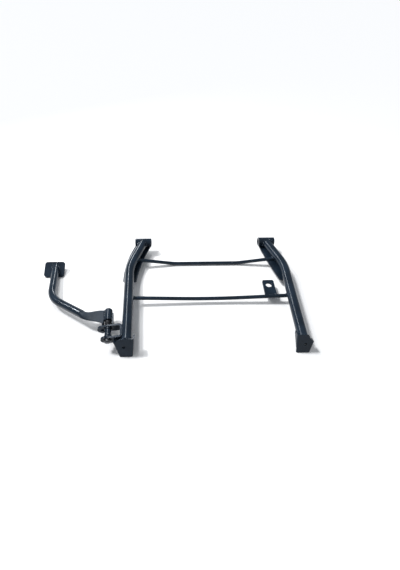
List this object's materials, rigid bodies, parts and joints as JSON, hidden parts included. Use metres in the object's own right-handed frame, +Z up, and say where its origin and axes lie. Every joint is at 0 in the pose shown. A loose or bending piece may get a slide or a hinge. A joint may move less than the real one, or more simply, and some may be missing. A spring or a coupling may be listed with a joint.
{
  "type": "motorcycle centre stand",
  "caption": "Tubular centre stand for a small motorcycle: bent legs, bowed cross rods, folded sole plates and a sprung side arm that ends in a foot pad.",
  "frame": {"origin": "middle of the pivot line, half way between the two pivot tubes", "axes": "+X along the pivot line to the right, +Y from the soles towards the pivots, +Z up with the stand lying as it rests on a table"},
  "size_m": [0.5527, 0.3023, 0.0384],
  "materials": {
    "frame_paint": "black semi-gloss paint on steel",
    "plate_paint": "black semi-gloss paint on steel",
    "sole_paint": "black semi-gloss paint on steel",
    "rod_paint": "black semi-gloss paint on steel",
    "bracket_paint": "black semi-gloss paint on steel",
    "stud_steel": "dull zinc plated steel",
    "arm_paint": "black semi-gloss paint on steel",
    "pad_paint": "black semi-gloss paint on steel",
    "pin_steel": "dull zinc plated steel",
    "washer_steel": "dull zinc plated steel",
    "clip_steel": "dull zinc plated steel",
    "spacer_paint": "black semi-gloss paint on steel",
    "spring_steel": "dark oiled spring steel"
  },
  "bodies": {
    "frame": {"left_leg_tube": "frame_paint", "right_leg_tube": "frame_paint", "left_pivot_tube": "frame_paint", "right_pivot_tube": "frame_paint", "left_gusset_plate": "plate_paint", "right_gusset_plate": "plate_paint", "left_sole_plate": "sole_paint", "right_sole_plate": "sole_paint", "upper_cross_rod": "rod_paint", "lower_cross_rod": "rod_paint", "spring_tab": "plate_paint", "hinge_bracket": "bracket_paint", "stop_stud": "stud_steel"},
    "side_arm": {"arm_hub": "arm_paint", "arm_tube": "arm_paint", "foot_pad": "pad_paint", "hinge_pin": "pin_steel", "hinge_washer": "washer_steel", "hinge_clip": "clip_steel", "hinge_spacer": "spacer_paint", "return_spring": "spring_steel", "spring_catch": "arm_paint"}
  },
  "joints": [
    {"name": "side_arm_swing", "type": "hinge", "parent": "frame", "child": "side_arm", "pos_m": [-0.1952, -0.27247, -0.001], "axis": [-0.1132, 0.9936, 0], "range_deg": [0, 100], "stiffness_Nm_per_rad": 0.5, "springref_deg": -28.65}
  ]
}
